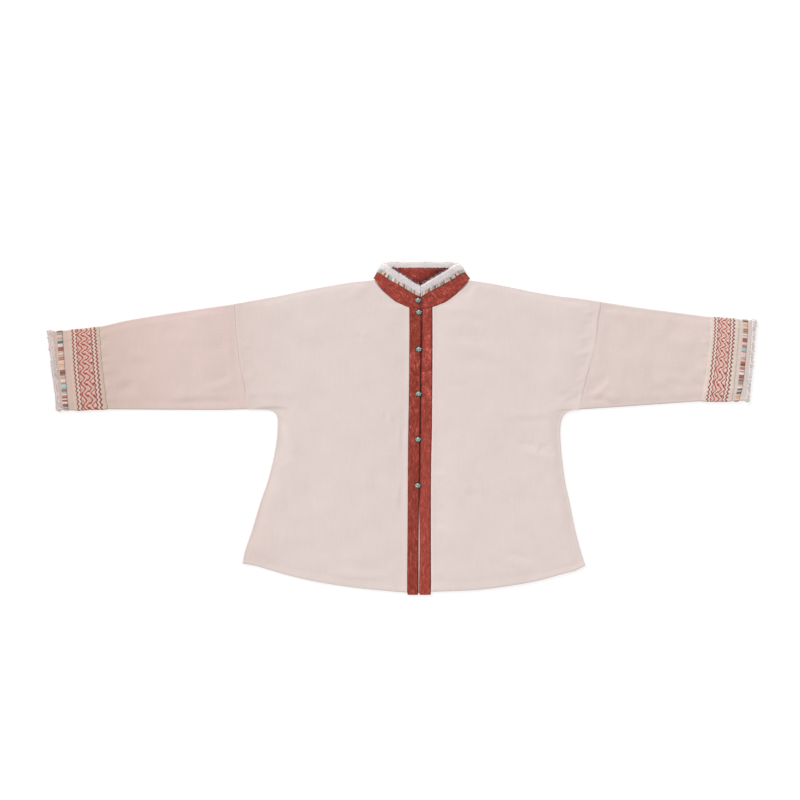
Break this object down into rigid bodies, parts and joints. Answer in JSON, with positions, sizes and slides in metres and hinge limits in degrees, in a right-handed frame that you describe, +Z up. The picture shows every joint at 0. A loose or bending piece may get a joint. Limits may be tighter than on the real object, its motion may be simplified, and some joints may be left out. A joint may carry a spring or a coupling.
{
  "type": "hip-length jacket laid flat",
  "caption": "Hip-length woven jacket laid flat, front up, with velvet stand collar and front bands, woven ribbon cuffs, fur edging and flower-shaped buttons.",
  "frame": {"origin": "on the surface that the jacket lies on, under the middle of its box", "axes": "+X across the jacket from the wearer's right sleeve to the left, +Y from hem to neck, +Z up out of the front"},
  "size_m": [1.489, 0.7, 0.0161],
  "materials": {
    "cotton": "matt slubbed plain weave, pale pinkish beige",
    "velvet": "crushed velvet, rust red, soft sheen",
    "fur": "short dense fur, off-white",
    "fret_ribbon": "woven ribbon, rust hooked diamonds on pinkish white",
    "bar_ribbon": "woven ribbon of narrow coloured bars",
    "enamelled_metal": "dark bronze with turquoise petals and a cream domed centre"
  },
  "bodies": {
    "root": {"back": "cotton", "front_right": "cotton", "front_left": "cotton", "sleeve_right": "cotton", "sleeve_left": "cotton", "band_right": "velvet", "band_left": "velvet", "collar": "velvet", "collar_ribbon": "bar_ribbon", "collar_fur": "fur", "cuff_band_right": "fret_ribbon", "cuff_band_left": "fret_ribbon", "cuff_ribbon_right": "bar_ribbon", "cuff_ribbon_left": "bar_ribbon", "cuff_fur_right": "fur", "cuff_fur_left": "fur", "button_1": "enamelled_metal", "button_2": "enamelled_metal", "button_3": "enamelled_metal", "button_4": "enamelled_metal", "button_5": "enamelled_metal", "button_6": "enamelled_metal"}
  },
  "joints": []
}
